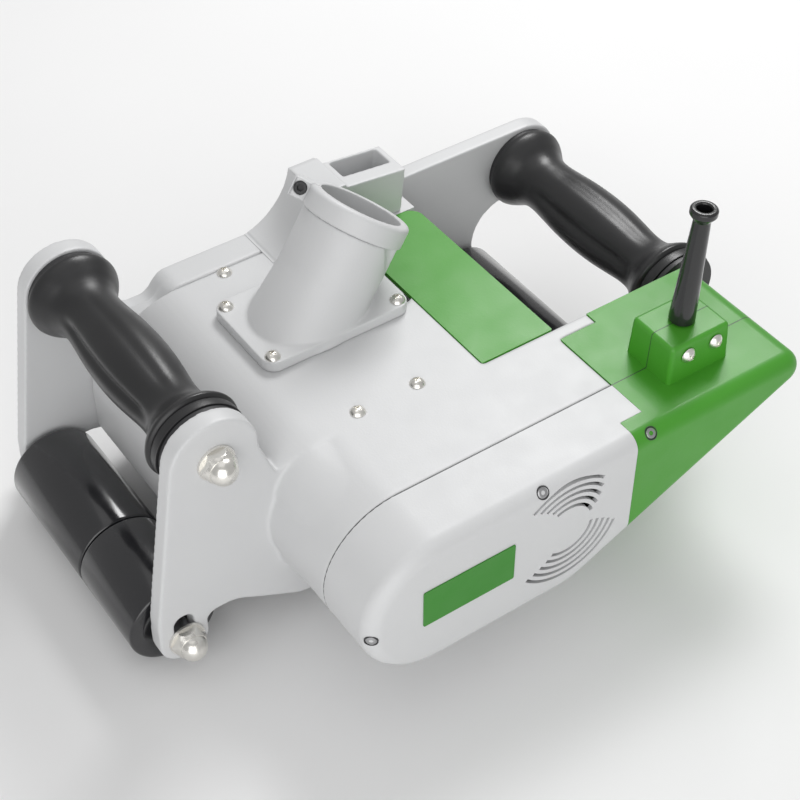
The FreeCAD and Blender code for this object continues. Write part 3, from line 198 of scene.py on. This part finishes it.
MATERIALS = {
    "casting": finish_surface("cast_silver", (0.64, 0.645, 0.65), 0.97, 0.05, (0.46, 0.52),
                              (900.0, 0.2)),
    "green_cover": finish_surface("green_paint", (0.06, 0.315, 0.02), 0.92, 0.0, (0.4, 0.5),
                                  (700.0, 0.2), 0.1),
    "label": finish_surface("label_green", (0.03, 0.235, 0.012), 0.94, 0.0, (0.4, 0.5),
                            (400.0, 0.08), 0.05),
    "grip_rubber": finish_surface("grip_rubber", (0.02, 0.02, 0.021), 0.8, 0.0, (0.3, 0.4),
                                  (1400.0, 0.25)),
    "black_plastic": finish_surface("black_plastic", (0.03, 0.03, 0.032), 0.8, 0.0, (0.4, 0.5),
                                    (900.0, 0.3)),
    "roller": finish_surface("roller_black", (0.014, 0.014, 0.016), 0.8, 0.0, (0.16, 0.26),
                             (500.0, 0.08), 0.6),
    "sleeve": finish_surface("sleeve_black", (0.014, 0.014, 0.015), 0.8, 0.0, (0.18, 0.28),
                             (700.0, 0.12), 0.4),
    "bright_steel": finish_surface("bright_plating", (0.93, 0.91, 0.86), 0.8, 1.0, (0.24, 0.36),
                                   (500.0, 0.12)),
    "steel": brushed_surface("brushed_steel", (0.5, 0.5, 0.51), 0.34, (1.0, 0.03, 1.0)),
    "blade_steel": brushed_surface("blade_steel", (0.34, 0.35, 0.37), 0.38, (0.05, 1.0, 1.0)),
    "belt_rubber": finish_surface("belt_rubber", (0.02, 0.02, 0.02), 0.7, 0.0, (0.6, 0.75),
                                  (900.0, 0.4)),
    "copper": brushed_surface("copper_bars", (0.7, 0.36, 0.2), 0.3, (1.0, 0.05, 1.0)),
    "carbon": finish_surface("carbon_block", (0.05, 0.05, 0.05), 0.7, 0.0, (0.6, 0.7),
                             (1200.0, 0.3)),
    "switch_red": finish_surface("switch_red", (0.4, 0.02, 0.015), 0.85, 0.0, (0.25, 0.35),
                                 (700.0, 0.1), 0.4),
}


def dress(piece, slot):
    """Give a piece its slot's material."""
    piece.data.materials.clear()
    piece.data.materials.append(MATERIALS[slot])


# ---------------------------------------------------------------- mesh helpers


def smooth(piece, degrees=35.0):
    """Smooth shading, with edges sharper than an angle kept crisp."""
    piece.data.polygons.foreach_set("use_smooth", [True] * len(piece.data.polygons))
    piece.data.set_sharp_from_angle(angle=math.radians(degrees))


def stand_in(piece, node):
    """Show a piece in place of a CAD node, on that node's body and in its material."""
    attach(piece, OWNER[node])
    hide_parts(node)
    dress(piece, SLOT[node])


def trim(piece, node, slot):
    """Add a small detail piece that rides with a node."""
    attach(piece, OWNER[node])
    dress(piece, slot)


def mesh_object(name, verts, faces):
    """Linked object made from vertices and faces."""
    mesh = bpy.data.meshes.new(name)
    mesh.from_pydata([tuple(v) for v in verts], [], faces)
    mesh.validate()
    piece = bpy.data.objects.new(name, mesh)
    bpy.context.scene.collection.objects.link(piece)
    return piece


def eased(profile, parts):
    """Points of a smooth curve through (along, radius) pairs."""
    count = len(profile)
    result = []
    for step in range(count - 1):
        before = profile[max(step - 1, 0)]
        start = profile[step]
        end = profile[step + 1]
        after = profile[min(step + 2, count - 1)]
        for part in range(parts):
            t = part / parts
            point = []
            for k in range(2):
                bend = (2 * start[k] + (end[k] - before[k]) * t
                        + (2 * before[k] - 5 * start[k] + 4 * end[k] - after[k]) * t ** 2
                        + (3 * start[k] - before[k] - 3 * end[k] + after[k]) * t ** 3)
                point.append(bend / 2)
            result.append(tuple(point))
    result.append(profile[-1])
    return result


def rounded_outline(corners, parts=14):
    """Points of a closed outline given as (x, z, corner radius)."""
    points = []
    count = len(corners)
    for step, (x, z, radius) in enumerate(corners):
        here = Vector((x, z))
        back = (Vector(corners[step - 1][:2]) - here).normalized()
        ahead = (Vector(corners[(step + 1) % count][:2]) - here).normalized()
        half = back.angle(ahead) / 2
        centre = here + (back + ahead).normalized() * (radius / math.sin(half))
        first = here + back * (radius / math.tan(half)) - centre
        last = here + ahead * (radius / math.tan(half)) - centre
        sweep = math.pi - 2 * half
        for part in range(parts + 1):
            share = part / parts
            turned = (first * math.sin((1 - share) * sweep) + last * math.sin(share * sweep))
            points.append(centre + turned / math.sin(sweep))
    return points


def seam_band(name, corners, y, width, proud=0.05, deep=0.8):
    """Thin closed band that shows the joint line round a rounded outline.

    It stands proud of the outline and goes deep into the metal by these millimetres.
    """
    outline = rounded_outline(corners)
    count = len(outline)
    verts = []
    for step, point in enumerate(outline):
        along = (outline[(step + 1) % count] - outline[step - 1]).normalized()
        outward = Vector((along.y, -along.x))
        for reach, side in ((proud, -0.5), (proud, 0.5), (-deep, 0.5), (-deep, -0.5)):
            rim = point + outward * reach
            verts.append(spot(rim.x, y + side * width, rim.y))
    faces = []
    for step in range(count):
        here = 4 * step
        there = 4 * ((step + 1) % count)
        for corner in range(4):
            following = (corner + 1) % 4
            faces.append((here + corner, here + following, there + following, there + corner))
    return mesh_object(name, verts, faces)


def lathe(name, profile, base, axis, section=None, around=96):
    """Closed skin of revolution: (along, radius) pairs from a base point along an axis.

    section(angle, along) may scale the radius to make an oval or to sink grooves.
    """
    axis = Vector(axis).normalized()
    side = axis.orthogonal().normalized()
    if abs(axis.y) > 0.9:
        side = Vector((1.0, 0.0, 0.0))
    up = side.cross(axis)
    verts = []
    for along, radius in profile:
        for step in range(around):
            angle = 2 * math.pi * step / around
            reach = radius * (section(angle, along) if section else 1.0)
            point = Vector(base) + axis * along
            point += (side * math.cos(angle) + up * math.sin(angle)) * reach
            verts.append(spot(*point))
    faces = []
    for ring in range(len(profile) - 1):
        for step in range(around):
            following = (step + 1) % around
            low = ring * around
            faces.append((low + step, low + following, low + around + following,
                          low + around + step))
    first = Vector(base) + axis * profile[0][0]
    last = Vector(base) + axis * profile[-1][0]
    verts.append(spot(*first))
    verts.append(spot(*last))
    top = (len(profile) - 1) * around
    for step in range(around):
        following = (step + 1) % around
        faces.append((following, step, len(verts) - 2))
        faces.append((top + step, top + following, len(verts) - 1))
    piece = mesh_object(name, verts, faces)
    skin = bmesh.new()
    skin.from_mesh(piece.data)
    bmesh.ops.recalc_face_normals(skin, faces=skin.faces)
    skin.to_mesh(piece.data)
    skin.free()
    smooth(piece, 50.0)
    return piece


def melt_in(piece, additions):
    """Add closed skins, as (points in the frame, faces), to a piece's own mesh."""
    whole = bmesh.new()
    whole.from_mesh(piece.data)
    back = piece.matrix_world.inverted()
    for points, faces in additions:
        held = [whole.verts.new(back @ point) for point in points]
        for face in faces:
            whole.faces.new([held[index] for index in face])
    whole.to_mesh(piece.data)
    whole.free()


def cast_copy(node, voxel, passes, additions=()):
    """Copy of a CAD node with its edges worn round, as a casting's are; additions melt in."""
    piece = nodes[node].copy()
    piece.data = nodes[node].data.copy()
    melt_in(piece, additions)
    piece.name = f"{node}_cast"
    bpy.context.scene.collection.objects.link(piece)
    piece.parent = None
    for key in [key for key in piece.keys() if key.startswith("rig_")]:
        del piece[key]
    remesh = piece.modifiers.new("cells", "REMESH")
    remesh.mode = "VOXEL"
    remesh.voxel_size = voxel * MM
    remesh.use_smooth_shade = True
    soften = piece.modifiers.new("soften", "SMOOTH")
    soften.factor = 0.5
    soften.iterations = passes
    stand_in(piece, node)
    return piece


def crisp(node, width=0.35):
    """Small bevels and clean shading on a CAD node that is shown as it is."""
    piece = nodes[node]
    smooth(piece)
    weld = piece.modifiers.new("weld", "WELD")
    weld.merge_threshold = 0.00001
    bevel = piece.modifiers.new("bevel", "BEVEL")
    bevel.width = width * MM
    bevel.segments = 2
    bevel.limit_method = "ANGLE"
    bevel.angle_limit = math.radians(35)
    normals = piece.modifiers.new("normals", "WEIGHTED_NORMAL")
    normals.keep_sharp = True
    dress(piece, SLOT[node])


# ---------------------------------------------------------------- handles

# lengthwise grooves of a grip: middle and half width in degrees, and share of the radius sunk
GRIP_GROOVES = ((160.0, 9.0, 0.13), (95.0, 10.0, 0.045), (340.0, 9.0, 0.13))
GROOVE_START = 24.0
GROOVE_END = 124.0
GROOVE_FADE = 14.0


def grip_section(flatness):
    """Cross-section of a grip: slightly oval, with lengthwise grooves on the body."""

    def section(angle, along):
        oval = 1.0 + flatness * math.cos(2 * angle)
        fade_in = min(max((along - GROOVE_START) / GROOVE_FADE, 0.0), 1.0)
        fade_out = min(max((GROOVE_END - along) / GROOVE_FADE, 0.0), 1.0)
        part = fade_in * fade_out
        groove = 0.0
        for centre, width, depth in GRIP_GROOVES:
            away = (math.degrees(angle) - centre + 180.0) % 360.0 - 180.0
            groove += depth * math.exp(-(away / width) ** 2)
        return oval - groove * part

    return section


def make_grip(node, x, z, low):
    """Moulded grip with flared ends, waists and a grooved belly.

    The profile's points are (share of the grip's length, radius in millimetres).
    """
    length = FAR_INNER_Y - GRIP_END_GAP - low
    ring = [(0.0, 18.0), (0.001, 25.6), (0.006, 26.3), (0.036, 26.3), (0.042, 25.7), (0.045, 25.2)]
    near_flare = [(0.05, 26.4), (0.058, 27.4), (0.07, 27.2), (0.09, 25.4), (0.115, 22.6)]
    body = [(0.15, 19.6), (0.19, 18.2), (0.25, 18.2), (0.33, 19.6), (0.42, 20.9), (0.52, 21.3),
            (0.63, 20.6), (0.73, 19.1), (0.8, 18.2), (0.85, 18.6)]
    far_flare = [(0.89, 20.6), (0.925, 23.8), (0.955, 26.4), (0.975, 27.4), (0.99, 27.2),
                 (0.999, 26.0), (1.0, 18.0)]
    profile = ring + near_flare + body + far_flare
    curve = [(share * length, radius) for share, radius in eased(profile, 6)]
    piece = lathe(f"{node}_moulded", curve, (x, low, z), (0, 1, 0), grip_section(0.012))
    stand_in(piece, node)


make_grip("front_grip", *FRONT_GRIP_AXIS, NEAR_INNER_Y + GRIP_END_GAP)
make_grip("rear_grip", *REAR_GRIP_AXIS, REAR_LUG_INNER_Y + GRIP_END_GAP)

# ---------------------------------------------------------------- rollers


def make_roller(node, x, low, high):
    """Glossy sleeve with rounded rims and a recess in each end.

    The profile's points are (distance from the end, radius), turned round for the other end.
    """
    length = high - low
    outer = ROLLER_RADIUS - 0.05
    recess = [(1.4, 9.2), (1.4, outer - 10.0), (0.2, outer - 8.5)]
    rim = [(0.0, outer - 7.5), (0.0, outer - 1.6), (0.25, outer - 0.8), (0.8, outer - 0.25)]
    profile = recess + rim + [(1.6, outer)]
    profile += [(length - along, radius) for along, radius in reversed(profile)]
    piece = lathe(f"{node}_sleeve", profile, (x, low, ROLLER_Z), (0, 1, 0), around=128)
    stand_in(piece, node)


FIRST_LOW = NEAR_INNER_Y + ROLLER_END_GAP
LAST_HIGH = FAR_INNER_Y - ROLLER_END_GAP
make_roller("front_roller_short", FRONT_ROLLER_X, FIRST_LOW, ROLLER_SPLIT_Y - ROLLER_SPLIT_GAP)
make_roller("front_roller_long", FRONT_ROLLER_X, ROLLER_SPLIT_Y + ROLLER_SPLIT_GAP, LAST_HIGH)
make_roller("rear_roller", REAR_ROLLER_X, FIRST_LOW, LAST_HIGH)

# ---------------------------------------------------------------- castings


def square_reach(way, across, up, corner):
    """Distance from the middle of a rounded rectangle to its rim in a direction."""
    reach = min(across / max(abs(way.x), 1e-6), up / max(abs(way.y), 1e-6))
    rim = way * reach
    inner = Vector((across - corner, up - corner))
    if abs(rim.x) > inner.x and abs(rim.y) > inner.y:
        along = abs(way.x) * inner.x + abs(way.y) * inner.y
        reach = along + math.sqrt(along ** 2 - inner.length_squared + corner ** 2)
    return reach


def bowl_fairing():
    """Rounding-out of the motor bowl towards the side frame, where its end turns squarer.

    Rings of points round the bowl's front half, each closed through the bowl's own axis.
    """
    centre = Vector((HOUSING_LEFT + HOUSING_END_RADIUS, -HOUSING_END_RADIUS))
    half_length = 42.5
    corner = 26.0
    sunk = 0.6
    rings = 12
    turns = 40
    near, far = -50.0, 1.0
    first_degrees, sweep_degrees = 80.0, 150.0
    points = []
    for ring in range(rings + 1):
        share = ring / rings
        y = near + (far - near) * share
        blend = share * share * (3 - 2 * share)
        for step in range(turns + 1):
            angle = math.radians(first_degrees + sweep_degrees * step / turns)
            way = Vector((math.cos(angle), math.sin(angle)))
            reach = square_reach(way, half_length, HOUSING_END_RADIUS, corner)
            radius = (HOUSING_END_RADIUS - sunk) * (1 - blend) + (reach - sunk) * blend
            rim = centre + way * radius
            points.append(spot(rim.x, y, rim.y))
        points.append(spot(centre.x, y, centre.y))
    loop = turns + 2
    faces = []
    for ring in range(rings):
        for step in range(loop):
            following = (step + 1) % loop
            low = ring * loop
            faces.append((low + step, low + following, low + loop + following, low + loop + step))
    faces.append(tuple(range(loop)))
    faces.append(tuple(rings * loop + step for step in reversed(range(loop))))
    return points, faces


# voxel size in millimetres and smoothing passes of each casting's copy
CASTINGS = {
    "main_casting": (0.9, 11),
    "far_side_frame": (0.9, 10),
    "dust_duct": (0.7, 8),
    "duct_collar": (0.6, 4),
    "spanner_pocket": (0.7, 5),
}
for cast, (voxel, passes) in CASTINGS.items():
    additions = [bowl_fairing()] if cast == "main_casting" else []
    cast_copy(cast, voxel, passes, additions)

MOULDED = {"front_grip", "rear_grip", "front_roller_short", "front_roller_long", "rear_roller"}
for node in nodes:
    if node not in MOULDED and node not in CASTINGS:
        crisp(node)

# the clamping screw is dressed dark, unlike the bright pan-head screws
dress(nodes["collar_screw"], "black_plastic")

# ---------------------------------------------------------------- joint lines and sunk screws

for band, corners, width in (
    ("housing_joint", HOUSING_CORNERS, 0.5),
    ("boss_joint", BOSS_CORNERS, 0.4),
):
    piece = seam_band(band, corners, HOUSING_SPLIT_Y, width)
    trim(piece, "rear_cover_inner", "black_plastic")


def sunk_screw(name, x, z, facing, node):
    """Dark ring of painted recess shade and a screw head, set in the rounded edge of the housing.

    x and z are on the centre line of the edge's rounding; facing points out of the metal there.
    """
    out = Vector(facing).normalized()
    edge = Vector((x, HOUSING_SIDE_Y + HOUSING_EDGE_RADIUS, z))
    centre = edge + out * HOUSING_EDGE_RADIUS
    rim = [(-1.0, 3.9), (0.02, 3.9), (0.12, 3.75), (0.12, 3.3), (-0.6, 3.1)]
    head = [(-0.9, 2.9), (-0.05, 2.9), (0.1, 2.6), (0.16, 1.6), (0.16, 1.3), (-0.3, 1.2)]
    # the black ring is painted shade of the screw's recess, a thin sheet standing just proud round
    # the head
    trim(lathe(f"{name}_recess", rim, centre, out, around=40), node, "black_plastic")
    trim(lathe(f"{name}_head", head, centre, out, around=40), node, "steel")


for name, x, z, facing, node in (
    ("side_screw_a", 24.0, -9.0, (0.0, -7.1, 5.5), "motor_housing_outer"),
    ("side_screw_b", -79.6, -49.0, (-5.7, -7.0, -0.3), "motor_housing_outer"),
    ("side_screw_c", 98.7, -9.0, (0.0, -6.3, 6.4), "rear_cover_outer"),
):
    sunk_screw(name, x, z, facing, node)

# ---------------------------------------------------------------- stage, lights and camera


def make_floor():
    """Large pale floor that the rollers stand on."""
    piece = mesh_object("floor", [(-6, -6, 0), (6, -6, 0), (6, 6, 0), (-6, 6, 0)], [(0, 1, 2, 3)])
    material, tree, shader, place = new_material("pale_floor")
    tone = spread(tree, noise(tree, place, 1.5), 0.0, 1.0)
    tree.links.new(blend_colours(tree, tone, (0.84, 0.84, 0.84), (0.88, 0.88, 0.88)),
                   shader.inputs["Base Color"])
    shader.inputs["Roughness"].default_value = 0.7
    piece.data.materials.append(material)


def area_light(name, direction, distance, width, power):
    """Square softbox that looks at the machine; metres and watts."""
    light = bpy.data.lights.new(name, "AREA")
    light.size = width
    light.energy = power
    holder = bpy.data.objects.new(name, light)
    aim = Vector((0.0, 0.0, 0.1))
    away = Vector(direction).normalized()
    holder.location = aim + away * distance
    holder.rotation_euler = away.to_track_quat("Z", "Y").to_euler()
    bpy.context.scene.collection.objects.link(holder)


def make_world():
    """Even, pale surroundings."""
    world = bpy.data.worlds.new("studio")
    world.use_nodes = True
    background = world.node_tree.nodes["Background"]
    background.inputs["Color"].default_value = (1.0, 1.0, 1.0, 1.0)
    background.inputs["Strength"].default_value = 0.46
    bpy.context.scene.world = world


def make_camera():
    """Camera above the near front corner, looking at the datum."""
    camera = bpy.data.cameras.new("camera")
    camera.lens = 78.48
    camera.sensor_width = 36.0
    camera.clip_start = 0.05
    camera.clip_end = 20.0
    holder = bpy.data.objects.new("camera", camera)
    holder.location = Vector((-423.14, -610.37, 798.27)) * MM
    gaze = DATUM * MM - holder.location
    holder.rotation_euler = gaze.to_track_quat("-Z", "Y").to_euler()
    bpy.context.scene.collection.objects.link(holder)
    bpy.context.scene.camera = holder


make_floor()
make_world()
area_light("key", (0.514, 0.386, 0.766), 1.6, 0.6, 13.5)
area_light("front_fill", (-0.55, -0.75, 0.35), 2.2, 2.2, 27.0)
area_light("overhead", (-0.1, 0.1, 1.0), 2.0, 1.6, 3.0)
make_camera()
bpy.context.scene.view_settings.view_transform = "Standard"
